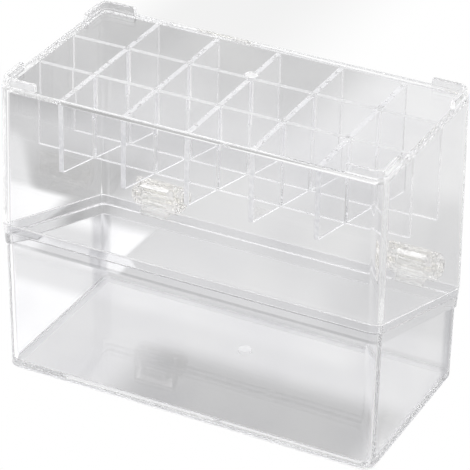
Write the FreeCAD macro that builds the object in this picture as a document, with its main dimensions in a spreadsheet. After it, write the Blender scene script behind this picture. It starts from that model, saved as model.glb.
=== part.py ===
import FreeCAD, Part
import os
import re
import Sketcher

# A lipstick organizer of clear moulded plastic: a cell case of 6 by 3 cells and a deep lid, joined by two
# barrel hinges at the back. It stands on the lid's flat face, as photographed, with the case's closed plate
# and its four corner feet on top. The joint between the halves slants down towards the back.
# X runs along the width, Y from the front to the hinges, Z up. The origin is the middle of the standing face.

# Sizes in millimetres, slopes in degrees.
SIZES = [
    ("case_width", 150.0, "outer width of the cell case at its closed plate"),
    ("case_depth", 75.5, "outer depth of the cell case at its closed plate"),
    ("total_height", 117.0, "standing face to the outside of the closed plate"),
    ("case_wall", 2.6, "wall of the cell case"),
    ("case_plate", 2.4, "closed plate of the cell case"),
    ("case_draft", 0.6, "slope of the case's walls, wider towards the joint"),
    ("corner_radius", 4.5, "upright corners of both halves"),
    ("joint_height", 49.5, "height of the joint in the middle of the box"),
    ("joint_slant", 17.5, "slope of the joint, falling to the back"),
    ("joint_gap", 0.2, "seam between the two rims"),
    ("tongue_inset", 1.7, "step from the case's outer wall in to its tongue"),
    ("tongue_depth", 3.5, "how far the tongue reaches into the lid"),
    ("tongue_gap", 0.3, "room between the tongue and its socket"),
    ("lid_inset", 0.6, "the lid's standing face inside the outline of the closed plate"),
    ("lid_wall", 2.2, "wall of the lid"),
    ("lid_floor", 2.4, "flat face of the lid"),
    ("lid_draft", 0.5, "slope of the lid's walls, wider towards the joint"),
    ("lid_edge_radius", 1.0, "rounded edge of the standing face"),
    ("band_height", 8.0, "flared band below the joint"),
    ("band_taper", 5.0, "slope of the flared band"),
    ("divider_thickness", 2.0, "every divider"),
    ("divider_front_depth", 26.5, "dividers below the plate, at the front wall"),
    ("divider_back_depth", 41.0, "dividers below the plate, at the back wall"),
    ("slot_gap", 0.15, "room on each side of a divider in its slot"),
    ("seat_gap", 0.15, "room between a divider's end and the wall"),
    ("foot_leg", 15.0, "length of each leg of a corner foot"),
    ("foot_width", 2.4, "width of a corner foot's ridge"),
    ("foot_height", 3.2, "height of a corner foot"),
    ("foot_draft", 3.0, "slope of a corner foot's sides"),
    ("hinge_setback", 22.5, "middle of a hinge from the case's end"),
    ("hinge_width", 20.6, "whole barrel of one hinge"),
    ("knuckle_width", 10.6, "the lid's knuckle, between the case's two"),
    ("knuckle_gap", 0.3, "room on each side of the lid's knuckle"),
    ("barrel_radius", 5.4, "hinge barrel"),
    ("barrel_gap", 0.3, "room between the barrel and what turns round it"),
    ("barrel_bevel", 1.6, "bevelled outer ends of the barrel"),
    ("axis_rise", 2.2, "hinge axis above the joint's back edge"),
    ("flute_width", 1.4, "flutes along the case's knuckles"),
    ("flute_depth", 0.7, "depth of a flute"),
    ("bridge_height", 3.0, "pad that ties the case's two knuckles together"),
    ("bridge_thickness", 2.4, "that pad, out from the case's back wall"),
    ("tab_depth", 4.2, "the lid's hinge tab, below the joint"),
    ("tab_gap", 0.4, "hinge tab's upper edge below the joint"),
    ("pin_radius", 1.6, "hinge pin"),
    ("pin_fit", 0.05, "running fit of the pin in the lid's knuckle"),
    ("pin_recess", 0.6, "pin's ends inside the barrel's ends"),
    ("pin_bevel", 0.4, "bevelled ends of the pin"),
    ("gate_radius", 2.6, "round moulding mark on each flat face"),
    ("gate_depth", 0.4, "depth of a moulding mark"),
    ("gate_setback", 13.0, "moulding marks behind the middle of the box"),
    ("overrun", 5.0, "cuts run past what they cut"),
]
COLUMNS = 6
ROWS = 3
FLUTES = 14

doc = FreeCAD.newDocument("lipstick_organizer")
sheet = doc.addObject("Spreadsheet::Sheet", "Sizes")
for row, (alias, size, note) in enumerate(SIZES, start=1):
    sheet.set(f"A{row}", note)
    sheet.set(f"B{row}", str(size))
    sheet.setAlias(f"B{row}", alias)
doc.recompute()

ALIASES = {alias for alias, size, note in SIZES}
nodes = []


# Formulas are written in the names of the sizes, bound to the sheet's cells and read as plain numbers.
def bound(formula):
    return re.sub(r"[a-z_]+", lambda word: f"Sizes.{word[0]}" if word[0] in ALIASES else word[0], formula)


def value(formula):
    return float(sheet.evalExpression(formula))


def bind(feature, **formulas):
    for name, formula in formulas.items():
        feature.setExpression(name, bound(formula))


# Places that several pieces share.
PLATE_UNDERSIDE = "(total_height - case_plate)"
LID_HALF_WIDTH = "(case_width / 2 - lid_inset)"
LID_HALF_DEPTH = "(case_depth / 2 - lid_inset)"
COLUMN_PITCH = f"(case_width / {COLUMNS})"
ROW_PITCH = f"((case_depth - case_wall) / {ROWS})"
HINGE_MIDDLE = "(case_width / 2 - hinge_setback)"
JOINT_HALF_WIDTH = "(case_width / 2 + tan(case_draft) * (total_height - joint_height))"
JOINT_HALF_DEPTH = "(case_depth / 2 + tan(case_draft) * (total_height - joint_height))"
JOINT_BACK_HEIGHT = f"(joint_height - tan(joint_slant) * {JOINT_HALF_DEPTH})"
AXIS_DEPTH = f"({JOINT_HALF_DEPTH} + barrel_gap + barrel_radius)"
AXIS_HEIGHT = f"({JOINT_BACK_HEIGHT} + axis_rise)"


def case_wall_reach(half_size, height):
    """Distance from the middle of the box to the case's outer wall at a height."""
    return f"({half_size} + tan(case_draft) * (total_height - {height}))"


def new_body(label):
    body = doc.addObject("PartDesign::Body", label)
    body.Label = label
    return body


def new_node(label):
    body = new_body(label)
    nodes.append(body)
    return body


def new_sketch(body, name, role, offset=("0", "0", "0"), slanted=False):
    """A sketch on one of the body's own planes, moved by formulas in that plane's axes."""
    sketch = body.newObject("Sketcher::SketchObject", name)
    plane = next(feature for feature in body.Origin.OriginFeatures if feature.Role == role)
    sketch.AttachmentSupport = [(plane, "")]
    sketch.MapMode = "FlatFace"
    if slanted:
        turn = FreeCAD.Rotation(FreeCAD.Vector(1, 0, 0), -value("joint_slant"))
        sketch.AttachmentOffset = FreeCAD.Placement(FreeCAD.Vector(), turn)
        sketch.setExpression("AttachmentOffset.Rotation.Angle", bound("-joint_slant"))
    for axis, formula in zip("xyz", offset):
        sketch.setExpression(f"AttachmentOffset.Base.{axis}", bound(formula))
    return sketch


def place_point(sketch, element, position, u, v):
    """Ties one point of a sketch to the sketch's origin by two formulas."""
    for kind, formula in (("DistanceX", u), ("DistanceY", v)):
        constraint = Sketcher.Constraint(kind, -1, 1, element, position, value(formula))
        index = sketch.addConstraint(constraint)
        sketch.setExpression(f"Constraints[{index}]", bound(formula))


def draw_polygon(sketch, corners):
    """A closed outline of straight edges, each corner a pair of formulas."""
    first = sketch.GeometryCount
    points = [FreeCAD.Vector(value(u), value(v), 0) for u, v in corners]
    for start, end in zip(points, points[1:] + points[:1]):
        sketch.addGeometry(Part.LineSegment(start, end), False)
    for index, (u, v) in enumerate(corners):
        before = first + (index - 1) % len(corners)
        sketch.addConstraint(Sketcher.Constraint("Coincident", before, 2, first + index, 1))
        place_point(sketch, first + index, 1, u, v)


def draw_circle(sketch, u, v, radius):
    centre = FreeCAD.Vector(value(u), value(v), 0)
    circle = sketch.addGeometry(Part.Circle(centre, FreeCAD.Vector(0, 0, 1), value(radius)), False)
    place_point(sketch, circle, 3, u, v)
    index = sketch.addConstraint(Sketcher.Constraint("Radius", circle, value(radius)))
    sketch.setExpression(f"Constraints[{index}]", bound(radius))


def draw_rounded_rectangle(sketch, half_width, half_depth, radius):
    """A rectangle about the sketch's origin: four corner arcs, joined by tangent edges."""
    corner_signs = [("", "", 0), ("-", "", 90), ("-", "-", 180), ("", "-", 270)]
    arcs = []
    ends = []
    for sign_u, sign_v, start_angle in corner_signs:
        u = f"{sign_u}({half_width} - {radius})"
        v = f"{sign_v}({half_depth} - {radius})"
        centre = FreeCAD.Vector(value(u), value(v), 0)
        circle = Part.Circle(centre, FreeCAD.Vector(0, 0, 1), value(radius))
        angles = [FreeCAD.Units.Quantity(f"{angle} deg").getValueAs("rad").Value
                  for angle in (start_angle, start_angle + 90)]
        arc = Part.ArcOfCircle(circle, *angles)
        arcs.append(sketch.addGeometry(arc, False))
        ends.append((arc.StartPoint, arc.EndPoint))
        place_point(sketch, arcs[-1], 3, u, v)
        index = sketch.addConstraint(Sketcher.Constraint("Radius", arcs[-1], value(radius)))
        sketch.setExpression(f"Constraints[{index}]", bound(radius))
    for corner, arc in enumerate(arcs):
        following = (corner + 1) % len(arcs)
        edge = sketch.addGeometry(Part.LineSegment(ends[corner][1], ends[following][0]), False)
        sketch.addConstraint(Sketcher.Constraint("Tangent", arc, 2, edge, 1))
        sketch.addConstraint(Sketcher.Constraint("Tangent", edge, 2, arcs[following], 1))


def extrude(body, kind, name, sketch, length, taper=None, reverse=False, both_ways=False, upright=False):
    """A Pad or Pocket of a sketch; upright ones run straight down whatever the sketch's slope."""
    feature = body.newObject(f"PartDesign::{kind}", name)
    feature.Profile = sketch
    if both_ways:
        feature.SideType = "Symmetric"
    if upright:
        feature.UseCustomVector = True
        feature.AlongSketchNormal = False
        feature.Direction = FreeCAD.Vector(0, 0, -1)
    feature.Reversed = reverse
    bind(feature, Length=length)
    if taper:
        bind(feature, TaperAngle=taper)
    sketch.Visibility = False
    volume_before = body.Shape.Volume if body.Tip and not body.Shape.isNull() else 0
    doc.recompute()
    grows = kind == "Pad"
    if (feature.Shape.Volume > volume_before) != grows:
        raise ValueError(f"{body.Label}: {name} changes nothing")
    return feature


def soften_edges(body, kind, name, picked, size):
    """A Fillet or Chamfer on the tip's edges that a test picks."""
    names = [f"Edge{index}" for index, edge in enumerate(body.Tip.Shape.Edges, start=1) if picked(edge)]
    feature = body.newObject(f"PartDesign::{kind}", name)
    feature.Base = (feature.BaseFeature, names)
    measure = {"Fillet": "Radius", "Chamfer": "Size"}[kind]
    bind(feature, **{measure: size})
    doc.recompute()


def level_at(edge, axis, place):
    """Whether an edge lies flat in the plane where an axis has one value."""
    box = edge.BoundBox
    low, high = getattr(box, f"{axis}Min"), getattr(box, f"{axis}Max")
    flatness = Part.Vertex(0, 0, 0).Tolerance * len(SIZES) + edge.Tolerance
    return abs(low - place) < flatness and abs(high - place) < flatness


# The cell case: closed plate, drafted walls and the tongue that locates it in the lid.
def make_case_shell():
    body = new_node("cell_case")
    outline = new_sketch(body, "case_outline", "XY_Plane", ("0", "0", "total_height"))
    draw_rounded_rectangle(outline, "case_width / 2", "case_depth / 2", "corner_radius")
    extrude(body, "Pad", "case_block", outline, "total_height", taper="case_draft", reverse=True)

    below = new_sketch(body, "case_joint", "YZ_Plane")
    rim = "joint_height + joint_gap / 2"
    draw_polygon(below, [
        ("-case_depth", f"{rim} + tan(joint_slant) * case_depth"),
        ("case_depth", f"{rim} - tan(joint_slant) * case_depth"),
        ("case_depth", "-case_depth"),
        ("-case_depth", "-case_depth"),
    ])
    extrude(body, "Pocket", "case_joint_cut", below, "case_width * 2", both_ways=True)

    tongue = new_sketch(body, "tongue_outline", "XY_Plane", ("0", "0", rim), slanted=True)
    draw_rounded_rectangle(
        tongue,
        f"({JOINT_HALF_WIDTH} - tongue_inset)",
        f"(({JOINT_HALF_DEPTH} - tongue_inset) / cos(joint_slant))",
        "(corner_radius - tongue_inset)",
    )
    extrude(body, "Pad", "tongue", tongue, "tongue_depth + joint_gap / 2", upright=True)

    inside = new_sketch(body, "case_inside_outline", "XY_Plane", ("0", "0", PLATE_UNDERSIDE))
    draw_rounded_rectangle(
        inside,
        "(case_width / 2 - case_wall + tan(case_draft) * case_plate)",
        "(case_depth / 2 - case_wall + tan(case_draft) * case_plate)",
        "(corner_radius - case_wall)",
    )
    extrude(body, "Pocket", "case_inside", inside, "total_height", taper="case_draft")

    gate = new_sketch(body, "case_gate", "XY_Plane", ("0", "0", "total_height"))
    draw_circle(gate, "0", "gate_setback", "gate_radius")
    extrude(body, "Pocket", "case_gate_mark", gate, "gate_depth")


# The lid: flat standing face, drafted walls, and a flared band with the socket for the tongue.
def make_lid_shell():
    body = new_node("lid")
    outline = new_sketch(body, "lid_outline", "XY_Plane")
    draw_rounded_rectangle(outline, LID_HALF_WIDTH, LID_HALF_DEPTH, "corner_radius")
    extrude(body, "Pad", "lid_block", outline, "total_height", taper="lid_draft")

    above = new_sketch(body, "lid_joint", "YZ_Plane")
    rim = "joint_height - joint_gap / 2"
    draw_polygon(above, [
        ("-case_depth", f"{rim} + tan(joint_slant) * case_depth"),
        ("case_depth", f"{rim} - tan(joint_slant) * case_depth"),
        ("case_depth", "total_height + overrun"),
        ("-case_depth", "total_height + overrun"),
    ])
    extrude(body, "Pocket", "lid_joint_cut", above, "case_width * 2", both_ways=True)
    soften_edges(
        body, "Fillet", "standing_edge", lambda edge: level_at(edge, "Z", 0), "lid_edge_radius"
    )

    band = new_sketch(body, "band_outline", "XY_Plane", ("0", "0", rim), slanted=True)
    draw_rounded_rectangle(
        band, JOINT_HALF_WIDTH, f"({JOINT_HALF_DEPTH} / cos(joint_slant))", "corner_radius"
    )
    extrude(body, "Pad", "flared_band", band, "band_height", taper="-band_taper", upright=True)

    inside = new_sketch(body, "lid_inside_outline", "XY_Plane", ("0", "0", "lid_floor"))
    draw_rounded_rectangle(
        inside,
        f"({LID_HALF_WIDTH} - lid_wall + tan(lid_draft) * lid_floor)",
        f"({LID_HALF_DEPTH} - lid_wall + tan(lid_draft) * lid_floor)",
        "(corner_radius - lid_wall)",
    )
    extrude(body, "Pocket", "lid_inside", inside, "total_height", taper="lid_draft", reverse=True)

    socket = new_sketch(body, "socket_outline", "XY_Plane", ("0", "0", rim), slanted=True)
    draw_rounded_rectangle(
        socket,
        f"({JOINT_HALF_WIDTH} - tongue_inset + tongue_gap)",
        f"(({JOINT_HALF_DEPTH} - tongue_inset + tongue_gap) / cos(joint_slant))",
        "(corner_radius - tongue_inset + tongue_gap)",
    )
    extrude(body, "Pocket", "tongue_socket", socket, "tongue_depth + tongue_gap", upright=True)

    gate = new_sketch(body, "lid_gate", "XY_Plane")
    draw_circle(gate, "0", "gate_setback", "gate_radius")
    extrude(body, "Pocket", "lid_gate_mark", gate, "gate_depth", reverse=True)


# The dividers: flat plates, slotted half-way into each other, that stand on the inside of the closed plate.
INNER_HALF_DEPTH = "(case_depth / 2 - case_wall)"
SLOT_HALF_WIDTH = "(divider_thickness / 2 + slot_gap)"


def divider_depth(place):
    """How far a divider reaches below the plate at a place between the front and back walls."""
    run = f"({place} + {INNER_HALF_DEPTH}) / (2 * {INNER_HALF_DEPTH})"
    return f"(divider_front_depth + (divider_back_depth - divider_front_depth) * {run})"


def divider_end(half_size, depth_below_plate):
    """Distance from the middle of the box to a divider's end, just inside the wall."""
    return f"({half_size} - case_wall + tan(case_draft) * (case_plate + {depth_below_plate}) - seat_gap)"


def make_cross_divider(number):
    body = new_node(f"cross_divider_{number}")
    place = f"{number - COLUMNS / 2} * {COLUMN_PITCH}"
    side = new_sketch(body, f"cross_outline_{number}", "YZ_Plane", ("0", "0", place))
    root = divider_end("case_depth / 2", "0")
    front = divider_end("case_depth / 2", "divider_front_depth")
    back = divider_end("case_depth / 2", "divider_back_depth")
    draw_polygon(side, [
        (f"-{root}", PLATE_UNDERSIDE),
        (f"-{front}", f"{PLATE_UNDERSIDE} - divider_front_depth"),
        (back, f"{PLATE_UNDERSIDE} - divider_back_depth"),
        (root, PLATE_UNDERSIDE),
    ])
    extrude(body, "Pad", f"cross_plate_{number}", side, "divider_thickness", both_ways=True)

    slots = new_sketch(body, f"cross_slots_{number}", "YZ_Plane", ("0", "0", place))
    for row in range(1, ROWS):
        middle = f"{row - ROWS / 2} * {ROW_PITCH}"
        slot_end = f"{PLATE_UNDERSIDE} - {divider_depth(middle)} / 2 + slot_gap"
        past_edge = f"{PLATE_UNDERSIDE} - divider_back_depth - overrun"
        draw_polygon(slots, [
            (f"{middle} - {SLOT_HALF_WIDTH}", slot_end),
            (f"{middle} - {SLOT_HALF_WIDTH}", past_edge),
            (f"{middle} + {SLOT_HALF_WIDTH}", past_edge),
            (f"{middle} + {SLOT_HALF_WIDTH}", slot_end),
        ])
    extrude(body, "Pocket", f"cross_slot_cut_{number}", slots, "divider_thickness * 2", both_ways=True)


def make_long_divider(label, row):
    body = new_node(label)
    place = f"{row - ROWS / 2} * {ROW_PITCH}"
    depth = divider_depth(f"({place})")
    front = new_sketch(body, f"long_outline_{row}", "XZ_Plane", ("0", "0", f"-({place})"))
    root = divider_end("case_width / 2", "0")
    edge = divider_end("case_width / 2", depth)
    draw_polygon(front, [
        (f"-{root}", PLATE_UNDERSIDE),
        (f"-{edge}", f"{PLATE_UNDERSIDE} - {depth}"),
        (edge, f"{PLATE_UNDERSIDE} - {depth}"),
        (root, PLATE_UNDERSIDE),
    ])
    extrude(body, "Pad", f"long_plate_{row}", front, "divider_thickness", both_ways=True)

    slots = new_sketch(body, f"long_slots_{row}", "XZ_Plane", ("0", "0", f"-({place})"))
    for column in range(1, COLUMNS):
        middle = f"{column - COLUMNS / 2} * {COLUMN_PITCH}"
        slot_end = f"{PLATE_UNDERSIDE} - {depth} / 2 - slot_gap"
        draw_polygon(slots, [
            (f"{middle} - {SLOT_HALF_WIDTH}", f"{PLATE_UNDERSIDE} + overrun"),
            (f"{middle} - {SLOT_HALF_WIDTH}", slot_end),
            (f"{middle} + {SLOT_HALF_WIDTH}", slot_end),
            (f"{middle} + {SLOT_HALF_WIDTH}", f"{PLATE_UNDERSIDE} + overrun"),
        ])
    extrude(body, "Pocket", f"long_slot_cut_{row}", slots, "divider_thickness * 2", both_ways=True)


# The corner feet: pieces of one drafted ridge that follows the closed plate's rounded outline.
def make_foot_ridge():
    body = new_body("foot_ridge")
    outline = new_sketch(body, "ridge_outline", "XY_Plane", ("0", "0", "total_height"))
    draw_rounded_rectangle(outline, "case_width / 2", "case_depth / 2", "corner_radius")
    draw_rounded_rectangle(
        outline,
        "(case_width / 2 - foot_width)",
        "(case_depth / 2 - foot_width)",
        "(corner_radius - foot_width)",
    )
    extrude(body, "Pad", "ridge", outline, "foot_height", taper="-foot_draft")
    return body


def make_corner_foot(ridge, label, sign_x, sign_y):
    corner = doc.addObject("Part::Box", f"{label}_corner")
    bind(corner, Length="foot_leg", Width="foot_leg", Height="foot_height")
    corner.setExpression("Placement.Base.x", bound(f"{sign_x} * (case_width - foot_leg) / 2 - foot_leg / 2"))
    corner.setExpression("Placement.Base.y", bound(f"{sign_y} * (case_depth - foot_leg) / 2 - foot_leg / 2"))
    corner.setExpression("Placement.Base.z", bound("total_height"))
    foot = doc.addObject("Part::Common", label)
    foot.Label = label
    foot.Base = ridge
    foot.Tool = corner
    nodes.append(foot)


# The hinges: two fluted knuckles on the case, one plain knuckle on the lid, and a pin through all three.
def hinge_sketch(body, name, middle):
    """A sketch across the hinge, with its origin on the hinge axis."""
    return new_sketch(body, name, "YZ_Plane", (AXIS_DEPTH, AXIS_HEIGHT, middle))


def from_axis(depth, height):
    """A point of the box, written from the hinge axis."""
    return f"{depth} - {AXIS_DEPTH}", f"{height} - {AXIS_HEIGHT}"


def make_case_leaf(side, middle):
    body = new_node(f"{side}_hinge_case_leaf")
    barrel = hinge_sketch(body, f"{side}_barrel", middle)
    draw_circle(barrel, "0", "0", "barrel_radius")
    extrude(body, "Pad", f"{side}_barrel_pad", barrel, "hinge_width", both_ways=True)
    ends = [value(f"{middle} - hinge_width / 2"), value(f"{middle} + hinge_width / 2")]
    soften_edges(
        body,
        "Chamfer",
        f"{side}_barrel_ends",
        lambda edge: any(level_at(edge, "X", end) for end in ends),
        "barrel_bevel",
    )

    flute = hinge_sketch(body, f"{side}_flute", middle)
    draw_polygon(flute, [
        ("barrel_radius - flute_depth", "0"),
        ("barrel_radius + flute_depth", "-flute_width"),
        ("barrel_radius + flute_depth", "flute_width"),
    ])
    first_flute = extrude(body, "Pocket", f"{side}_flute_cut", flute, "hinge_width * 2", both_ways=True)
    flutes = body.newObject("PartDesign::PolarPattern", f"{side}_flutes")
    flutes.Originals = [first_flute]
    flutes.Axis = (flute, ["N_Axis"])
    flutes.Occurrences = FLUTES
    body.Tip = flutes
    doc.recompute()

    web = hinge_sketch(body, f"{side}_web", middle)
    low = f"({AXIS_HEIGHT} - axis_rise / 2)"
    high = f"({AXIS_HEIGHT} + barrel_radius + barrel_gap + bridge_height)"
    wall_low = case_wall_reach("case_depth / 2", low)
    wall_high = case_wall_reach("case_depth / 2", high)
    draw_polygon(web, [
        from_axis(wall_low, low),
        from_axis(AXIS_DEPTH, low),
        from_axis(AXIS_DEPTH, f"({AXIS_HEIGHT} + barrel_radius - flute_depth)"),
        from_axis(f"({wall_high} + bridge_thickness)", high),
        from_axis(wall_high, high),
    ])
    extrude(body, "Pad", f"{side}_web_pad", web, "hinge_width - barrel_bevel * 2", both_ways=True)

    opening = hinge_sketch(body, f"{side}_opening", middle)
    reach = "(barrel_radius + barrel_gap)"
    draw_polygon(opening, [
        (f"-{reach} - overrun", reach),
        (f"-{reach} - overrun", f"-{reach}"),
        (reach, f"-{reach}"),
        (reach, reach),
    ])
    extrude(
        body, "Pocket", f"{side}_opening_cut", opening, "knuckle_width + knuckle_gap * 2", both_ways=True
    )

    bore = hinge_sketch(body, f"{side}_case_bore", middle)
    draw_circle(bore, "0", "0", "pin_radius")
    extrude(body, "Pocket", f"{side}_case_bore_cut", bore, "hinge_width * 2", both_ways=True)


def make_lid_leaf(side, middle):
    body = new_node(f"{side}_hinge_lid_leaf")
    barrel = hinge_sketch(body, f"{side}_knuckle", middle)
    draw_circle(barrel, "0", "0", "barrel_radius")
    extrude(body, "Pad", f"{side}_knuckle_pad", barrel, "knuckle_width", both_ways=True)

    tab = hinge_sketch(body, f"{side}_tab", middle)
    rim = f"({JOINT_BACK_HEIGHT} - joint_gap / 2)"
    lean = "(tan(band_taper) * cos(joint_slant) / (1 - tan(band_taper) * sin(joint_slant)))"
    draw_polygon(tab, [
        from_axis(f"({JOINT_HALF_DEPTH} - tab_gap * {lean})", f"({rim} - tab_gap)"),
        from_axis(f"({JOINT_HALF_DEPTH} - tab_depth * {lean})", f"({rim} - tab_depth)"),
        ("0", "-barrel_radius"),
        ("0", "0"),
    ])
    extrude(body, "Pad", f"{side}_tab_pad", tab, "knuckle_width", both_ways=True)

    bore = hinge_sketch(body, f"{side}_lid_bore", middle)
    draw_circle(bore, "0", "0", "pin_radius + pin_fit")
    extrude(body, "Pocket", f"{side}_lid_bore_cut", bore, "hinge_width", both_ways=True)


def make_hinge_pin(side, middle):
    body = new_node(f"{side}_hinge_pin")
    section = hinge_sketch(body, f"{side}_pin_section", middle)
    draw_circle(section, "0", "0", "pin_radius")
    length = "(hinge_width - pin_recess * 2)"
    extrude(body, "Pad", f"{side}_pin_pad", section, length, both_ways=True)
    ends = [value(f"{middle} - {length} / 2"), value(f"{middle} + {length} / 2")]
    soften_edges(
        body,
        "Chamfer",
        f"{side}_pin_ends",
        lambda edge: any(level_at(edge, "X", end) for end in ends),
        "pin_bevel",
    )


make_lid_shell()
make_case_shell()
for number in range(1, COLUMNS):
    make_cross_divider(number)
for row, label in enumerate(("long_divider_front", "long_divider_rear"), start=1):
    make_long_divider(label, row)
foot_ridge = make_foot_ridge()
for end, sign_y in (("front", -1), ("rear", 1)):
    for side, sign_x in (("left", -1), ("right", 1)):
        make_corner_foot(foot_ridge, f"{end}_{side}_foot", sign_x, sign_y)
for side, middle in (("left", f"(-{HINGE_MIDDLE})"), ("right", HINGE_MIDDLE)):
    make_case_leaf(side, middle)
    make_lid_leaf(side, middle)
    make_hinge_pin(side, middle)
doc.recompute()

for item in doc.Objects:
    if {"Invalid", "Error"} & set(item.State):
        raise ValueError(f"{item.Label} failed: {item.State}")
for node in nodes:
    if node.Shape.isNull() or not node.Shape.isValid():
        raise ValueError(f"{node.Label} has no valid shape")

os.makedirs("parts", exist_ok=True)
for node in nodes:
    node.Shape.exportStep(f"parts/{node.Label}.step")
print(f"axis depth {value(AXIS_DEPTH):.3f} height {value(AXIS_HEIGHT):.3f}, {len(nodes)} nodes")
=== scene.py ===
import math

import bmesh
import bpy
from mathutils import Matrix, Vector, noise


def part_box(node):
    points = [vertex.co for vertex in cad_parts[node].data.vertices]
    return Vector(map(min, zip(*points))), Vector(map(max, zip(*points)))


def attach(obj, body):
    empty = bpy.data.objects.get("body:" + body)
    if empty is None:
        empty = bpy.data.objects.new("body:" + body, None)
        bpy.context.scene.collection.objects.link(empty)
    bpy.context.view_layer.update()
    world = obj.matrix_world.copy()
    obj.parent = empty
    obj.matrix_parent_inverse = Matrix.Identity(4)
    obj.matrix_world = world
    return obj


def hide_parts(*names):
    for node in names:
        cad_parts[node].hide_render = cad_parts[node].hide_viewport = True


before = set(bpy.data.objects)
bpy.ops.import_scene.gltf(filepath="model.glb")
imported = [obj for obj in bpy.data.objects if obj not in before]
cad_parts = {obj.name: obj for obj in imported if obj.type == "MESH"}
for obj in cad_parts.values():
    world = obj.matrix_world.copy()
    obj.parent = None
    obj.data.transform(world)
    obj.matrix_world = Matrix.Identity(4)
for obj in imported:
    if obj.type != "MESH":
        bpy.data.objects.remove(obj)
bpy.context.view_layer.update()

# The lid: one injection moulding of clear, colourless plastic, on whose flat face the box stands. Its drafted
# walls end in a flared band below the slanted joint, with a socket inside the rim for the case's tongue. The
# moulding gate left a round mark on its floor, and use has dulled its standing edge and its rim.
MM = 0.001
JOINT_HEIGHT = 49.5
JOINT_SLOPE = math.tan(math.radians(17.5))
JOINT_HALF = (75.68, 38.43)
CORNER_RADIUS = 4.5
LID_HALF = (74.37, 37.12)
LID_SLOPE = math.tan(math.radians(0.5))
LID_WALL = 2.2
LID_INNER_BACK = LID_HALF[1] - LID_WALL
LID_FLOOR = 2.4
LID_OUTER_ROUND = 1.0
LID_INNER_ROUND = 1.2
WORN_WIDTH = 4.4
BAND_HEIGHT = 8.0
BAND_SLOPE = math.tan(math.radians(5.0))
BAND_FOOT = JOINT_HEIGHT - BAND_HEIGHT
BAND_FOOT_PROFILE = [(0.05, -0.1), (0.0, 0.0)]
BAND_STEP = 0.25
SOCKET_DEPTH = 3.9
RIM_PROFILE = [
    (0.45 * BAND_SLOPE, -0.45), (0.12, -0.2), (0.35, -0.1),
    (1.25, -0.1), (1.4, -0.25), (1.4, -SOCKET_DEPTH),
]
RIM_ZONE = 0.3
RIM_FACING = 0.7
GATE_PLACE = (0.0, 13.0)
GATE_RADIUS = 2.6
GATE_FLOOR_RADIUS = 2.35
GATE_DEPTH = 0.4
QUARTER_TURN = [math.radians(22.5 * step) for step in range(5)]
SMOOTH_UP_TO = math.radians(50)
PLASTIC_IOR = 1.5
TINT_STOPS = (0.35, 0.65)
DEPTH_GREY = (0.5, 0.5, 0.5, 1.0)


def flat(height):
    """A level that is the same all round a wall."""
    return lambda y: height


def along_joint(rise):
    """A level that follows the slanted joint."""
    return lambda y: JOINT_HEIGHT + rise - JOINT_SLOPE * y


def wall_loop(half, inset, level, slope=0.0, steps=8):
    """Points round a wall with rounded corners; its half sizes hold at height nought and change upwards."""
    points = []
    radius = CORNER_RADIUS - inset
    for sign_x, sign_y, first in ((1, 1, 0), (-1, 1, 90), (-1, -1, 180), (1, -1, 270)):
        for step in range(steps + 1):
            angle = math.radians(first + 90 * step / steps)
            z = level(0.0)
            for settling in range(4):
                grown = slope * z - inset
                x = sign_x * (half[0] + grown - radius) + radius * math.cos(angle)
                y = sign_y * (half[1] + grown - radius) + radius * math.sin(angle)
                z = level(y)
            points.append(Vector((x, y, z)) * MM)
    return points


def gate_loop(radius, height, steps=32):
    """Points round the gate mark."""
    turns = [2 * math.pi * step / steps for step in range(steps)]
    middle = Vector((*GATE_PLACE, height))
    return [(middle + radius * Vector((math.cos(turn), math.sin(turn), 0.0))) * MM for turn in turns]


def edge_loop(bm, verts):
    """The closed loop of edges through a row of vertices."""
    pairs = zip(verts, verts[1:] + verts[:1])
    return [bm.edges.get(pair) or bm.edges.new(pair) for pair in pairs]


def draw_wall(bm, sections):
    """A wall drawn out from its first section through the others; returns the sections' loops of edges."""
    row = [bm.verts.new(point) for point in sections[0]]
    loops = [edge_loop(bm, row)]
    for points in sections[1:]:
        drawn = set(bmesh.ops.extrude_edge_only(bm, edges=loops[-1])["geom"])
        row = [next(edge.other_vert(vert) for edge in vert.link_edges if edge.other_vert(vert) in drawn)
               for vert in row]
        for vert, point in zip(row, points):
            vert.co = point
        loops.append(edge_loop(bm, row))
    return loops


def close_off(bm, *loops):
    """Fills the flat area inside a loop of edges, less any loops that lie within it."""
    edges = [edge for loop in loops for edge in loop]
    bmesh.ops.triangle_fill(bm, edges=edges, use_beauty=True, use_dissolve=True)


def finish_piece(name, bm, body, materials, nodes):
    """Makes a closed mesh a smooth-shaded piece that stands for its nodes."""
    bmesh.ops.recalc_face_normals(bm, faces=bm.faces)
    for face in bm.faces:
        face.smooth = True
    mesh = bpy.data.meshes.new(name)
    bm.to_mesh(mesh)
    bm.free()
    mesh.set_sharp_from_angle(angle=SMOOTH_UP_TO)
    for material in materials:
        mesh.materials.append(material)
    piece = bpy.data.objects.new(name, mesh)
    bpy.context.scene.collection.objects.link(piece)
    even = piece.modifiers.new("flat_faces_stay_flat", "WEIGHTED_NORMAL")
    even.keep_sharp = True
    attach(piece, body)
    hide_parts(*nodes)


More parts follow.
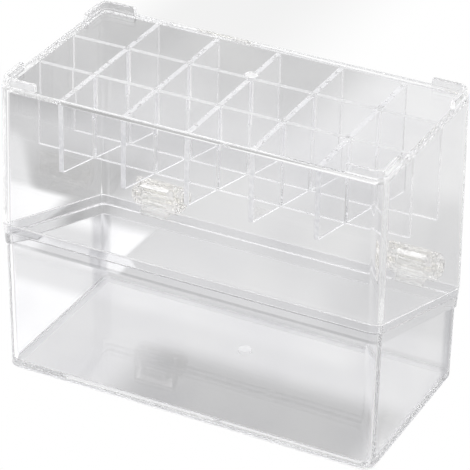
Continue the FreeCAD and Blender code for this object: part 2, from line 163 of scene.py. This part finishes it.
def clear_plastic(name, pale, deep, blotch, ripple, clearness=1.0, roughness=0.015, depth=0.0, grain=45.0):
    """Clear moulded plastic: a faint drift of tint, soft ripple on its faces, greyness with depth."""
    material = bpy.data.materials.new(name)
    material.use_nodes = True
    tree = material.node_tree
    shader = tree.nodes["Principled BSDF"]
    shader.inputs["Transmission Weight"].default_value = clearness
    shader.inputs["IOR"].default_value = PLASTIC_IOR
    shader.inputs["Roughness"].default_value = roughness
    place = tree.nodes.new("ShaderNodeTexCoord")
    drift = tree.nodes.new("ShaderNodeTexNoise")
    drift.inputs["Scale"].default_value = blotch
    drift.inputs["Detail"].default_value = 1.0
    tree.links.new(place.outputs["Object"], drift.inputs["Vector"])
    tint = tree.nodes.new("ShaderNodeValToRGB")
    for stop, position, colour in zip(tint.color_ramp.elements, TINT_STOPS, (deep, pale)):
        stop.position = position
        stop.color = (*colour, 1.0)
    tree.links.new(drift.outputs["Fac"], tint.inputs["Fac"])
    tree.links.new(tint.outputs["Color"], shader.inputs["Base Color"])
    waves = tree.nodes.new("ShaderNodeTexNoise")
    waves.inputs["Scale"].default_value = grain
    waves.inputs["Detail"].default_value = 0.0
    tree.links.new(place.outputs["Object"], waves.inputs["Vector"])
    bump = tree.nodes.new("ShaderNodeBump")
    bump.inputs["Strength"].default_value = ripple
    bump.inputs["Distance"].default_value = MM
    tree.links.new(waves.outputs["Fac"], bump.inputs["Height"])
    tree.links.new(bump.outputs["Normal"], shader.inputs["Normal"])
    if depth:
        loss = tree.nodes.new("ShaderNodeVolumeAbsorption")
        loss.inputs["Color"].default_value = DEPTH_GREY
        loss.inputs["Density"].default_value = depth
        tree.links.new(loss.outputs["Volume"], tree.nodes["Material Output"].inputs["Volume"])
    return material


def places(tree):
    """The X, Y and Z of a point on a piece."""
    place = tree.nodes.new("ShaderNodeTexCoord")
    axes = tree.nodes.new("ShaderNodeSeparateXYZ")
    tree.links.new(place.outputs["Object"], axes.inputs["Vector"])
    return axes.outputs["X"], axes.outputs["Y"], axes.outputs["Z"]


def combine(tree, operation, *values):
    """A sum, product or other combination of numbers and sockets."""
    node = tree.nodes.new("ShaderNodeMath")
    node.operation = operation
    for socket, value in zip(node.inputs, values):
        if isinstance(value, float):
            socket.default_value = value
        else:
            tree.links.new(value, socket)
    return node.outputs["Value"]


def area(tree, *spans):
    """An area with soft edges: each span takes one coordinate from outside to inside, in millimetres."""
    inside = None
    for value, start, end in spans:
        step = tree.nodes.new("ShaderNodeMapRange")
        step.interpolation_type = "SMOOTHSTEP"
        step.inputs["From Min"].default_value = start * MM
        step.inputs["From Max"].default_value = end * MM
        tree.links.new(value, step.inputs["Value"])
        within = step.outputs["Result"]
        inside = within if inside is None else combine(tree, "MULTIPLY", inside, within)
    return inside


def paint_shade_into_tint(material, inside, colour):
    """Paints shade into a clear plastic: greys its tint inside an area."""
    tree = material.node_tree
    tint = tree.nodes["Principled BSDF"].inputs["Base Color"]
    mix = tree.nodes.new("ShaderNodeMix")
    mix.data_type = "RGBA"
    tree.links.new(inside, mix.inputs["Factor"])
    tree.links.new(tint.links[0].from_socket, mix.inputs["A"])
    mix.inputs["B"].default_value = (*colour, 1.0)
    tree.links.new(mix.outputs["Result"], tint)


lid_plastic = clear_plastic("clear_lid_plastic", pale=(0.985, 0.985, 0.99), deep=(0.94, 0.94, 0.952),
                            blotch=30.0, ripple=0.02, depth=2.2)
gate_scar = clear_plastic("gate_scar", pale=(0.98, 0.98, 0.98), deep=(0.92, 0.92, 0.93),
                          blotch=900.0, ripple=0.1, clearness=0.3, roughness=0.5)
worn_edge = clear_plastic("worn_standing_edge", pale=(0.98, 0.98, 0.98), deep=(0.95, 0.95, 0.96),
                          blotch=400.0, ripple=0.1, clearness=0.5, roughness=0.35)
# Painted shade on the lid: its tint is greyed at the back corners, over the band, most at the band's left, in
# a line along the front of the band's foot and along the inner foot of the back wall.
tree = lid_plastic.node_tree
x, y, z = places(tree)
aside = combine(tree, "ABSOLUTE", x)
under_joint = combine(tree, "ADD", z, combine(tree, "MULTIPLY", y, JOINT_SLOPE))
on_band = (under_joint, BAND_FOOT - 0.3, BAND_FOOT)
corner_sides = (aside, LID_HALF[0] - 4.5, LID_HALF[0] - 3.0)
shaded_back_corners = area(tree, corner_sides, (y, LID_HALF[1] - 13.0, LID_HALF[1] - 10.0))
band = area(tree, on_band)
left_band_shade = area(tree, on_band, (x, -71.0, -72.0), (y, -31.0, -25.0), (y, 28.0, 8.0))
front_shade_line = area(tree, (under_joint, BAND_FOOT - 0.1, BAND_FOOT + 0.5),
                  (under_joint, BAND_FOOT + 1.7, BAND_FOOT + 0.9), (y, -34.0, -36.0))
back_foot_shade = area(tree, (y, LID_INNER_BACK - 1.5, LID_INNER_BACK - 0.9),
                 (z, LID_FLOOR + 1.5, LID_FLOOR + 0.9))
paint_shade_into_tint(lid_plastic, shaded_back_corners, (0.72, 0.72, 0.74))
paint_shade_into_tint(lid_plastic, band, (0.9, 0.9, 0.91))
paint_shade_into_tint(lid_plastic, left_band_shade, (0.66, 0.66, 0.67))
paint_shade_into_tint(lid_plastic, front_shade_line, (0.66, 0.66, 0.67))
paint_shade_into_tint(lid_plastic, back_foot_shade, (0.8, 0.8, 0.81))
lid = bmesh.new()
sections = [wall_loop(LID_HALF, WORN_WIDTH, flat(0.0), LID_SLOPE)]
for turn in QUARTER_TURN:
    inset = LID_OUTER_ROUND * (1.0 - math.sin(turn))
    sections.append(wall_loop(LID_HALF, inset, flat(LID_OUTER_ROUND * (1.0 - math.cos(turn))), LID_SLOPE))
sections.append(wall_loop(LID_HALF, 0.0, along_joint(-BAND_HEIGHT - BAND_STEP), LID_SLOPE))
for inset, rise in BAND_FOOT_PROFILE:
    sections.append(wall_loop(JOINT_HALF, BAND_SLOPE * BAND_HEIGHT + inset, along_joint(rise - BAND_HEIGHT)))
for inset, rise in RIM_PROFILE:
    sections.append(wall_loop(JOINT_HALF, inset, along_joint(rise)))
sections.append(wall_loop(LID_HALF, LID_WALL, along_joint(-SOCKET_DEPTH), LID_SLOPE))
for turn in QUARTER_TURN:
    inset = LID_WALL + LID_INNER_ROUND * (1.0 - math.cos(turn))
    height = LID_FLOOR + LID_INNER_ROUND * (1.0 - math.sin(turn))
    sections.append(wall_loop(LID_HALF, inset, flat(height), LID_SLOPE))
loops = draw_wall(lid, sections)
lid.normal_update()
for face in lid.faces:
    centre = face.calc_center_median() / MM
    at_rim = centre.z + JOINT_SLOPE * centre.y > JOINT_HEIGHT - RIM_ZONE
    if centre.z < LID_OUTER_ROUND:
        face.material_index = 2
    if at_rim and abs(face.normal.z) > RIM_FACING:
        face.material_index = 1
gate = draw_wall(lid, [gate_loop(GATE_RADIUS, 0.0), gate_loop(GATE_FLOOR_RADIUS, GATE_DEPTH)])
close_off(lid, loops[0], gate[0])
close_off(lid, gate[-1])
scar = edge_loop(lid, [lid.verts.new(point) for point in gate_loop(GATE_FLOOR_RADIUS, LID_FLOOR)])
close_off(lid, loops[-1], scar)
for face in bmesh.ops.edgeloop_fill(lid, edges=scar)["faces"]:
    face.material_index = 1
finish_piece("lid_shell", lid, "lid", [lid_plastic, gate_scar, worn_edge], ["lid"])

# The cell case: a second clear moulding with a closed plate, drafted walls and a thin tongue that seats in
# the lid's socket. Four L-shaped feet, on which the box stands in use, rise from the plate's corners in one
# piece with it, and are a little scuffed. The gate mark is on the plate.
CASE_HALF = (74.97, 37.72)
CASE_SLOPE = math.tan(math.radians(0.6))
CASE_TOP = 117.0
CASE_PLATE = 2.4
CASE_WALL = 2.6
CASE_EDGE_ROUND = 0.3
CASE_AT_FLOOR = [half + CASE_SLOPE * CASE_TOP for half in CASE_HALF]
PLATE_UNDERSIDE = CASE_TOP - CASE_PLATE
TONGUE_DEPTH = 3.4
TONGUE_PROFILE = [(1.85, -TONGUE_DEPTH), (1.7, -3.2), (1.7, 0.1)]
CASE_RIM_PROFILE = [(0.3, 0.1), (0.09, 0.19), (0.0, 0.4)]
GATE_FLOOR = CASE_TOP - GATE_DEPTH
FOOT_LEG = 15.0
FOOT_NEAR = 0.6
FOOT_FAR = 2.4
FOOT_HEIGHT = 3.2
TOUCH = 0.001
FOOT_PROFILE = [(0.0, 0.0), (0.15, FOOT_HEIGHT - 0.35), (0.25, FOOT_HEIGHT - 0.1), (0.45, FOOT_HEIGHT)]


def foot_loop(sign_x, sign_y, inset, rise, steps=6):
    """Points round a corner foot: along its outer side round the corner, and back along its inner side."""
    near, far, reach = FOOT_NEAR + inset, FOOT_FAR - inset, FOOT_LEG - inset
    width, length = CASE_HALF
    outer = [(math.radians(90 * step / steps), CORNER_RADIUS - near) for step in range(steps, -1, -1)]
    inner = [(math.radians(90 * step / steps), CORNER_RADIUS - far) for step in range(steps + 1)]
    bend_x, bend_y = width - CORNER_RADIUS, length - CORNER_RADIUS
    bends = [[(bend_x + radius * math.cos(turn), bend_y + radius * math.sin(turn)) for turn, radius in bend]
             for bend in (outer, inner)]
    points = [(width - reach, length - near), *bends[0], (width - near, length - reach)]
    points += [(width - far, length - reach), *bends[1], (width - reach, length - far)]
    return [Vector((sign_x * x, sign_y * y, CASE_TOP + rise)) * MM for x, y in points]


case_plastic = clear_plastic("clear_case_plastic", pale=(0.99, 0.99, 0.992), deep=(0.95, 0.95, 0.957),
                             blotch=34.0, ripple=0.02, depth=0.6)
scuffed_foot = clear_plastic("scuffed_foot", pale=(0.98, 0.98, 0.98), deep=(0.94, 0.94, 0.95),
                             blotch=350.0, ripple=0.03, clearness=0.88, roughness=0.08)
case = bmesh.new()
sections = [wall_loop(CASE_AT_FLOOR, CASE_WALL, flat(PLATE_UNDERSIDE), -CASE_SLOPE)]
sections.append(wall_loop(CASE_AT_FLOOR, CASE_WALL, along_joint(-TONGUE_DEPTH), -CASE_SLOPE))
for inset, rise in TONGUE_PROFILE:
    sections.append(wall_loop(JOINT_HALF, inset, along_joint(rise)))
for inset, rise in CASE_RIM_PROFILE:
    sections.append(wall_loop(CASE_AT_FLOOR, inset, along_joint(rise), -CASE_SLOPE))
for turn in QUARTER_TURN:
    inset = CASE_EDGE_ROUND * (1.0 - math.cos(turn))
    height = CASE_TOP - CASE_EDGE_ROUND * (1.0 - math.sin(turn))
    sections.append(wall_loop(CASE_AT_FLOOR, inset, flat(height), -CASE_SLOPE))
loops = draw_wall(case, sections)
gate = draw_wall(case, [gate_loop(GATE_RADIUS, CASE_TOP), gate_loop(GATE_FLOOR_RADIUS, GATE_FLOOR)])
plate_loops = [loops[-1], gate[0]]
for sign_x in (-1, 1):
    for sign_y in (-1, 1):
        foot = draw_wall(case, [foot_loop(sign_x, sign_y, inset, rise) for inset, rise in FOOT_PROFILE])
        plate_loops.append(foot[0])
        close_off(case, foot[-1])
close_off(case, *plate_loops)
close_off(case, loops[0])
close_off(case, gate[-1])
for face in case.faces:
    height = face.calc_center_median().z
    if height > (CASE_TOP + TOUCH) * MM:
        face.material_index = 2
    if abs(height - GATE_FLOOR * MM) < TOUCH * MM:
        face.material_index = 1
feet = [f"{end}_{side}_foot" for end in ("front", "rear") for side in ("left", "right")]
finish_piece("case_shell", case, "case", [case_plastic, gate_scar, scuffed_foot],
             ["cell_case"] + feet)

# The cross dividers: five flat plates of clear plastic, cut from sheet, that run from front to back in the
# case. Slots in their free edges take the long dividers, and a bubbly seam of cement bonds their roots and
# their front ends to the case.
THICKNESS = 2.0
SEAM_GAP = 0.12
DIVIDER_ROOT = PLATE_UNDERSIDE - SEAM_GAP
SLOT_CLEARANCE = 0.15
SLOT_HALF = THICKNESS / 2 + SLOT_CLEARANCE
EDGE_BEVEL = 0.15
ROOT_ZONE = 0.6
FRONT_DEPTH = 26.5
BACK_DEPTH = 41.0
CROSS_HALF = 35.15
CROSS_ROOT_HALF = 35.02
CROSS_FRONT = -35.3
CROSS_BACK = 35.45
ROW_PITCH = 24.3
COLUMN_PITCH = 25.0
COLUMNS = 5
SEAM_CELLS = (64, 4)
BARE_AT_CROSSING = 1.4
BUBBLE_STRETCH = (0.75, 0.6, 7.3)
BUBBLE_DEPTH = 0.3
FINE_BUBBLES = 2.7
FINE_BUBBLE_DEPTH = 0.1
CEMENT_PATCHES = 0.6
CEMENT_LIMIT = 0.25
SHARP_FROM = math.radians(40)
SQUARE_ON = 0.9


def divider_depth(y):
    """How far a divider hangs below the plate; it follows the slanted joint."""
    return FRONT_DEPTH + (BACK_DEPTH - FRONT_DEPTH) * (y + CROSS_HALF) / (2 * CROSS_HALF)


def seam_ripple(y, across, number):
    """Bubbles and drops in a bonded seam, as a ripple of the plate's root."""
    spot = Vector((y, across, number)) * Vector(BUBBLE_STRETCH)
    bubbles = BUBBLE_DEPTH * max(0.0, noise.noise(spot))
    return -bubbles - FINE_BUBBLE_DEPTH * max(0.0, noise.noise(spot * FINE_BUBBLES))


def cut_plate(outline, thickness):
    """A flat plate: one face with the plate's outline, drawn out to its thickness."""
    bm = bmesh.new()
    face = bm.faces.new([bm.verts.new(Vector(point) * MM) for point in outline])
    drawn = bmesh.ops.extrude_face_region(bm, geom=[face])["geom"]
    far_side = [item for item in drawn if isinstance(item, bmesh.types.BMVert)]
    bmesh.ops.translate(bm, vec=Vector(thickness) * MM, verts=far_side)
    return bm


def at_root(vert):
    """Whether a vertex lies on a plate's root."""
    return abs(vert.co.z - DIVIDER_ROOT * MM) < TOUCH * MM


def root_edges(bm, axis):
    """The edges of a plate's root that run along an axis."""
    level = [edge for edge in bm.edges if all(at_root(vert) for vert in edge.verts)]
    return [edge for edge in level if abs(edge.verts[0].co[axis] - edge.verts[1].co[axis]) > TOUCH * MM]


def soften_plate(bm):
    """Rounds the plate's sharp edges, except the ones along its root."""
    bmesh.ops.recalc_face_normals(bm, faces=bm.faces)
    below = (DIVIDER_ROOT - ROOT_ZONE) * MM
    sharp = [edge for edge in bm.edges
             if edge.calc_face_angle() > SHARP_FROM and min(vert.co.z for vert in edge.verts) < below]
    bmesh.ops.bevel(bm, geom=sharp, offset=EDGE_BEVEL * MM, offset_type="OFFSET", affect="EDGES",
                    segments=2, profile=0.5, material=-1)


def cross_divider(number):
    """A front-to-back plate: slots in its free edge, a rippled root where it is bonded."""
    middle = (number - (COLUMNS + 1) / 2) * COLUMN_PITCH
    outline = [(-CROSS_ROOT_HALF, DIVIDER_ROOT), (CROSS_FRONT, PLATE_UNDERSIDE - FRONT_DEPTH)]
    for row in (-ROW_PITCH / 2, ROW_PITCH / 2):
        near, far = row - SLOT_HALF, row + SLOT_HALF
        slot_top = PLATE_UNDERSIDE - divider_depth(row) / 2 + SLOT_CLEARANCE
        outline += [(near, PLATE_UNDERSIDE - divider_depth(near)), (near, slot_top)]
        outline += [(far, slot_top), (far, PLATE_UNDERSIDE - divider_depth(far))]
    outline += [(CROSS_BACK, PLATE_UNDERSIDE - BACK_DEPTH), (CROSS_ROOT_HALF, DIVIDER_ROOT)]
    bm = cut_plate([(middle - THICKNESS / 2, y, z) for y, z in outline], (THICKNESS, 0.0, 0.0))
    for axis, count in zip((1, 0), SEAM_CELLS):
        bmesh.ops.subdivide_edges(bm, edges=root_edges(bm, axis), cuts=count - 1, use_grid_fill=True)
    seam_cells = [face for face in bm.faces if all(at_root(vert) for vert in face.verts)]
    for vert in filter(at_root, bm.verts):
        across = (vert.co.x / MM - middle) * 2 / THICKNESS
        y = vert.co.y / MM
        if abs(across) < 1.0 - TOUCH and abs(y) < CROSS_ROOT_HALF - TOUCH:
            vert.co.z += seam_ripple(y, across, number) * MM
    for cell in seam_cells:
        spot = cell.calc_center_median() / MM
        at_crossing = abs(abs(spot.y) - ROW_PITCH / 2) < BARE_AT_CROSSING
        if noise.noise(spot * CEMENT_PATCHES) < CEMENT_LIMIT and not at_crossing:
            cell.material_index = 1
    soften_plate(bm)
    for face in bm.faces:
        if face.normal.y < -SQUARE_ON and face.calc_center_median().y < -CROSS_ROOT_HALF * MM:
            face.material_index = 1
    return bm


divider_plastic = clear_plastic("clear_divider_plastic", pale=(0.99, 0.99, 0.992), deep=(0.97, 0.97, 0.975),
                                blotch=60.0, ripple=0.015, depth=0.5)
bonded_seam = clear_plastic("bonded_seam", pale=(0.93, 0.93, 0.94), deep=(0.8, 0.8, 0.82),
                            blotch=900.0, ripple=0.1, clearness=0.05, roughness=0.4)
for number in range(1, COLUMNS + 1):
    finish_piece(f"cross_plate_{number}", cross_divider(number), "case",
                 [divider_plastic, bonded_seam], [f"cross_divider_{number}"])

# The long dividers: two plates of the same clear sheet that run from side to side in the case. Slots, sawn
# from their roots, drop over the cross dividers, and cement has run into one side of each slot. Their roots
# are left as sawn.
LONG_ROOT_HALF = 72.25
SLOT_WALL_AREA = 10.0
LAST_SLOT = 60.0


def long_divider(row):
    """A side-to-side plate: slots from its root, a straight free edge."""
    depth = divider_depth(row)
    low = PLATE_UNDERSIDE - depth
    slot_low = PLATE_UNDERSIDE - depth / 2 - SLOT_CLEARANCE
    low_half = LONG_ROOT_HALF + CASE_SLOPE * depth
    outline = [(-LONG_ROOT_HALF, DIVIDER_ROOT), (-low_half, low)]
    outline += [(low_half, low), (LONG_ROOT_HALF, DIVIDER_ROOT)]
    for number in range(COLUMNS, 0, -1):
        column = (number - (COLUMNS + 1) / 2) * COLUMN_PITCH
        outline += [(column + SLOT_HALF, DIVIDER_ROOT), (column + SLOT_HALF, slot_low)]
        outline += [(column - SLOT_HALF, slot_low), (column - SLOT_HALF, DIVIDER_ROOT)]
    bm = cut_plate([(x, row - THICKNESS / 2, z) for x, z in outline], (0.0, THICKNESS, 0.0))
    soften_plate(bm)
    for face in bm.faces:
        centre = face.calc_center_median() / MM
        if face.normal.z > SQUARE_ON and centre.z > DIVIDER_ROOT - ROOT_ZONE:
            face.material_index = 2
        if face.normal.x > SQUARE_ON and centre.x < LAST_SLOT and face.calc_area() > SLOT_WALL_AREA * MM * MM:
            face.material_index = 1
    return bm


sawn_edge = clear_plastic("sawn_edge", pale=(0.96, 0.96, 0.96), deep=(0.88, 0.88, 0.89),
                          blotch=700.0, ripple=0.1, clearness=0.65, roughness=0.4)
for name, row in (("front", -ROW_PITCH / 2), ("rear", ROW_PITCH / 2)):
    finish_piece(f"long_plate_{name}", long_divider(row), "case",
                 [divider_plastic, bonded_seam, sawn_edge], [f"long_divider_{name}"])

# The hinges: two barrels of clear moulded plastic with fluted sides. Each has two knuckles in one piece with
# a pad on the case's back wall, one knuckle with a tab on the lid's, and a pin pressed through all three.
HINGE_AXIS = (44.157, 39.575)
HINGE_OUT = 52.5
BARREL_RADIUS = 5.37
BORE_RADIUS = 1.68
FLUTES = 14
FLUTE_DEPTH = 0.7
FLUTED_FROM = -90.0
FLUTED_TO = 204.5
KNUCKLE_HALF = 5.27
TAB_OUTLINE = [(38.44, 36.87), (38.13, 33.12)]
PIN_RADIUS = 1.54
PIN_CHAMFER = 0.4
ROUND_STEPS = 24


def knuckle_outline(steps=8):
    """The lid knuckle's section, from the tab's foot round the barrel's ribs, and out along the tab."""
    points = []
    count = round((FLUTED_TO - FLUTED_FROM) / 360.0 * FLUTES * steps)
    for step in range(count + 1):
        turn = math.radians(FLUTED_FROM + (FLUTED_TO - FLUTED_FROM) * step / count)
        radius = BARREL_RADIUS - FLUTE_DEPTH * (0.5 + 0.5 * math.cos(FLUTES * turn))
        points.append((HINGE_AXIS[0] + radius * math.cos(turn), HINGE_AXIS[1] + radius * math.sin(turn)))
    return points + TAB_OUTLINE


def bore_outline():
    """The section of the hole for the pin."""
    turns = [2 * math.pi * step / ROUND_STEPS for step in range(ROUND_STEPS)]
    return [(HINGE_AXIS[0] + BORE_RADIUS * math.cos(turn), HINGE_AXIS[1] + BORE_RADIUS * math.sin(turn))
            for turn in turns]


def lid_knuckle(out):
    """A knuckle with its tab, drawn along the hinge's axis, with the pin's bore through it."""
    bm = bmesh.new()
    ends = (out - KNUCKLE_HALF, out + KNUCKLE_HALF)
    barrel, bore = [draw_wall(bm, [[Vector((x, y, z)) * MM for y, z in outline] for x in ends])
                    for outline in (knuckle_outline(), bore_outline())]
    for outer, inner in zip(barrel, bore):
        close_off(bm, outer, inner)
    return bm


def hinge_pin(node):
    """A round pin with chamfered ends, in its node's place."""
    low, high = [Vector(corner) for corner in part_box(node)]
    bm = bmesh.new()
    across = Matrix.Translation((low + high) / 2) @ Matrix.Rotation(math.radians(90), 4, "Y")
    bmesh.ops.create_cone(bm, cap_ends=True, segments=ROUND_STEPS, radius1=PIN_RADIUS * MM,
                          radius2=PIN_RADIUS * MM, depth=high.x - low.x, matrix=across)
    ends = [edge for edge in bm.edges if edge.calc_face_angle() > SHARP_FROM]
    bmesh.ops.bevel(bm, geom=ends, offset=PIN_CHAMFER * MM, offset_type="OFFSET", affect="EDGES",
                    segments=1, profile=0.5, material=-1)
    return bm


leaf_plastic = clear_plastic("clear_leaf_plastic", pale=(0.98, 0.97, 0.95), deep=(0.96, 0.95, 0.93),
                             blotch=120.0, ripple=0.3, clearness=0.97, roughness=0.04, depth=1.0, grain=600.0)
knuckle_plastic = clear_plastic("clear_knuckle_plastic", pale=(0.99, 0.985, 0.96), deep=(0.975, 0.97, 0.95),
                                blotch=300.0, ripple=0.03, clearness=0.9, roughness=0.05, depth=1.0)
for side, out in (("left", -HINGE_OUT), ("right", HINGE_OUT)):
    case_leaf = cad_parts[f"{side}_hinge_case_leaf"]
    case_leaf.data.materials.clear()
    case_leaf.data.materials.append(leaf_plastic)
    finish_piece(f"{side}_lid_leaf", lid_knuckle(out), "lid", [knuckle_plastic],
                 [f"{side}_hinge_lid_leaf"])
    finish_piece(f"{side}_pin", hinge_pin(f"{side}_hinge_pin"), "case", [knuckle_plastic],
                 [f"{side}_hinge_pin"])

# The floor: a sheet of pale paper that the box stands on. To the camera it is white, with a painted soft
# shadow behind the box.
# What shows through the plastic is painted light and shade: a grey, lightest at the left and with a painted
# shadow below the front of the lid.
FLOOR_HALF = 3.0
FLOOR_DROP = 0.4
PAPER_COLOUR = (0.9, 0.9, 0.9, 1.0)
SEEN_THROUGH_SHARE = 0.85
GREY_AT_LEFT = 0.68
GREY_AT_RIGHT = 0.82
PAPER_WHITE = 1.0
SHADE_BEHIND = 0.89
STRIP_SLANT = 0.75


def blend(tree, ground, inside, level):
    """Takes a grey to another level inside an area, to paint light or shade there."""
    node = tree.nodes.new("ShaderNodeMix")
    tree.links.new(inside, node.inputs["Factor"])
    if isinstance(ground, float):
        node.inputs["A"].default_value = ground
    else:
        tree.links.new(ground, node.inputs["A"])
    node.inputs["B"].default_value = level
    return node.outputs["Result"]


sheet = bmesh.new()
bmesh.ops.create_grid(sheet, x_segments=1, y_segments=1, size=FLOOR_HALF,
                      matrix=Matrix.Translation((0.0, 0.0, -FLOOR_DROP * MM)))
floor_mesh = bpy.data.meshes.new("floor")
sheet.to_mesh(floor_mesh)
sheet.free()
floor = bpy.data.objects.new("floor", floor_mesh)
bpy.context.scene.collection.objects.link(floor)
paper = bpy.data.materials.new("paper")
paper.use_nodes = True
tree = paper.node_tree
tree.nodes.clear()
x, y, z = places(tree)
# Painted light and shade on the floor, seen through the plastic: the grey runs from shade at the left to
# light at the right, and each area below takes it to its own level.
far_back_shade = area(tree, (y, 130, 230), (x, -20, -80))
slant = combine(tree, "ADD", x, combine(tree, "MULTIPLY", y, STRIP_SLANT))
light_strip = area(tree, (slant, -69, -76), (y, 135, 118), (y, 76, 84), (x, -190, -175))
light_side = area(tree, (x, -74, -77), (y, 82, 72))
light_side = combine(tree, "MAXIMUM", light_side, area(tree, (x, -115, -125), (y, 91, 85)))
light_side = combine(tree, "MULTIPLY", light_side, area(tree, (y, -42, -36)))
dim_side = area(tree, (x, -86, -94), (y, 36, 46), (y, 74, 62), (x, -120, -112))
left_shade = area(tree, (x, -92, -112), (x, -165, -140), (y, 74, 84), (y, 140, 115))
for lighter in (light_side, light_strip):
    left_shade = combine(tree, "MULTIPLY", left_shade, combine(tree, "SUBTRACT", 1.0, lighter))
shade_under_front = area(tree, (y, 10, -6), (x, -42, -20), (x, 76, 60))
light_back = area(tree, (y, 16, 26), (y, 44, 37), (x, 48, 30))
far_light = area(tree, (y, 120, 150), (x, -70, -40))
right_side_shade = area(tree, (x, 0, 25), (y, 50, 62), (y, 175, 150))
far_corner_shade = area(tree, (x, -140, -160), (y, 140, 165))
shadow_behind_box = area(tree, (x, -200, -160), (x, -60, -130), (y, 120, 220))
grey = blend(tree, GREY_AT_LEFT, area(tree, (x, -180, 0)), GREY_AT_RIGHT)
for inside, level in (
    (far_back_shade, 0.54), (light_strip, 0.9), (light_side, 1.15), (dim_side, 0.84), (left_shade, 0.52),
    (shade_under_front, 0.52), (light_back, 0.88), (far_light, 0.86), (right_side_shade, 0.74), (far_corner_shade, 0.47),
):
    grey = blend(tree, grey, inside, level)
# The painted soft shadow behind the box, which the camera sees.
white = blend(tree, PAPER_WHITE, shadow_behind_box, SHADE_BEHIND)
path = tree.nodes.new("ShaderNodeLightPath")
level = tree.nodes.new("ShaderNodeMix")
tree.links.new(path.outputs["Is Camera Ray"], level.inputs["Factor"])
tree.links.new(grey, level.inputs["A"])
tree.links.new(white, level.inputs["B"])
seen = tree.nodes.new("ShaderNodeEmission")
tree.links.new(level.outputs["Result"], seen.inputs["Color"])
lit = tree.nodes.new("ShaderNodeBsdfDiffuse")
lit.inputs["Color"].default_value = PAPER_COLOUR
share = combine(tree, "ADD", path.outputs["Is Transmission Ray"], path.outputs["Is Glossy Ray"])
share = combine(tree, "MULTIPLY", share, SEEN_THROUGH_SHARE)
share = combine(tree, "MAXIMUM", share, path.outputs["Is Camera Ray"])
mix = tree.nodes.new("ShaderNodeMixShader")
tree.links.new(share, mix.inputs["Fac"])
tree.links.new(lit.outputs["BSDF"], mix.inputs[1])
tree.links.new(seen.outputs["Emission"], mix.inputs[2])
surface = tree.nodes.new("ShaderNodeOutputMaterial")
tree.links.new(mix.outputs["Shader"], surface.inputs["Surface"])
floor_mesh.materials.append(paper)

# The studio: an even, pale room all round the box. A brighter strip low behind it lights the free edges of
# the dividers from within, and a soft light at the right brightens the upright edges there.
BACK_STRIP = (-0.389, 0.909, 0.15)
ROOM_LEVELS = ((0.0, 1.0), (0.5, 0.95), (0.9, 1.05), (0.982, 1.1), (0.993, 1.9), (1.0, 1.9))
SIDE_LIGHT = (0.95, -0.3, 0.0)
SIDE_EDGE = (0.75, 0.95)
SIDE_LEVEL = 1.5


def facing(tree, place, direction):
    """How nearly a ray points in a direction, from -1 to 1."""
    node = tree.nodes.new("ShaderNodeVectorMath")
    node.operation = "DOT_PRODUCT"
    tree.links.new(place.outputs["Generated"], node.inputs[0])
    node.inputs[1].default_value = Vector(direction).normalized()
    return node.outputs["Value"]


world = bpy.data.worlds.new("studio")
bpy.context.scene.world = world
world.use_nodes = True
tree = world.node_tree
tree.nodes.clear()
place = tree.nodes.new("ShaderNodeTexCoord")
spread = tree.nodes.new("ShaderNodeMapRange")
spread.inputs["From Min"].default_value = -1.0
tree.links.new(facing(tree, place, BACK_STRIP), spread.inputs["Value"])
ramp = tree.nodes.new("ShaderNodeValToRGB")
for position, level in ROOM_LEVELS[1:-1]:
    ramp.color_ramp.elements.new(position)
for stop, (position, level) in zip(ramp.color_ramp.elements, ROOM_LEVELS):
    stop.position = position
    stop.color = (level, level, level, 1.0)
tree.links.new(spread.outputs["Result"], ramp.inputs["Fac"])
soft = tree.nodes.new("ShaderNodeMapRange")
soft.interpolation_type = "SMOOTHSTEP"
soft.inputs["From Min"].default_value = SIDE_EDGE[0]
soft.inputs["From Max"].default_value = SIDE_EDGE[1]
soft.inputs["To Max"].default_value = SIDE_LEVEL
tree.links.new(facing(tree, place, SIDE_LIGHT), soft.inputs["Value"])
glow = tree.nodes.new("ShaderNodeVectorMath")
glow.operation = "ADD"
tree.links.new(ramp.outputs["Color"], glow.inputs[0])
tree.links.new(soft.outputs["Result"], glow.inputs[1])
room = tree.nodes.new("ShaderNodeBackground")
tree.links.new(glow.outputs["Vector"], room.inputs["Color"])
backdrop = tree.nodes.new("ShaderNodeBackground")
backdrop.inputs["Color"].default_value = (1.0, 1.0, 1.0, 1.0)
path = tree.nodes.new("ShaderNodeLightPath")
mix = tree.nodes.new("ShaderNodeMixShader")
tree.links.new(path.outputs["Is Camera Ray"], mix.inputs["Fac"])
tree.links.new(room.outputs["Background"], mix.inputs[1])
tree.links.new(backdrop.outputs["Background"], mix.inputs[2])
surface = tree.nodes.new("ShaderNodeOutputWorld")
tree.links.new(mix.outputs["Shader"], surface.inputs["Surface"])

# The camera: at the box's front right and above it, with a long lens and a slight roll. Light may pass
# through many walls of plastic, so the number of bounces is high.
CAMERA_PLACE = (0.38804, -0.77497, 0.55513)
CAMERA_AZIMUTH = math.radians(26.54)
CAMERA_ELEVATION = math.radians(29.85)
CAMERA_ROLL = math.radians(1.0)
CAMERA_LENS = 210.84
WALL_BOUNCES = 300
lens = bpy.data.cameras.new("camera")
lens.lens = CAMERA_LENS
lens.sensor_width = 36.0
lens.clip_start = 0.01
camera = bpy.data.objects.new("camera", lens)
turn = Matrix.Rotation(CAMERA_AZIMUTH, 4, "Z") @ Matrix.Rotation(math.radians(90) - CAMERA_ELEVATION, 4, "X")
camera.matrix_world = Matrix.Translation(CAMERA_PLACE) @ turn @ Matrix.Rotation(CAMERA_ROLL, 4, "Z")
scene = bpy.context.scene
scene.collection.objects.link(camera)
scene.camera = camera
scene.view_settings.view_transform = "Standard"
scene.cycles.max_bounces = WALL_BOUNCES
scene.cycles.transmission_bounces = WALL_BOUNCES
scene.cycles.glossy_bounces = WALL_BOUNCES
scene.cycles.diffuse_bounces = 8
scene.cycles.transparent_max_bounces = 16
scene.cycles.blur_glossy = 0.0
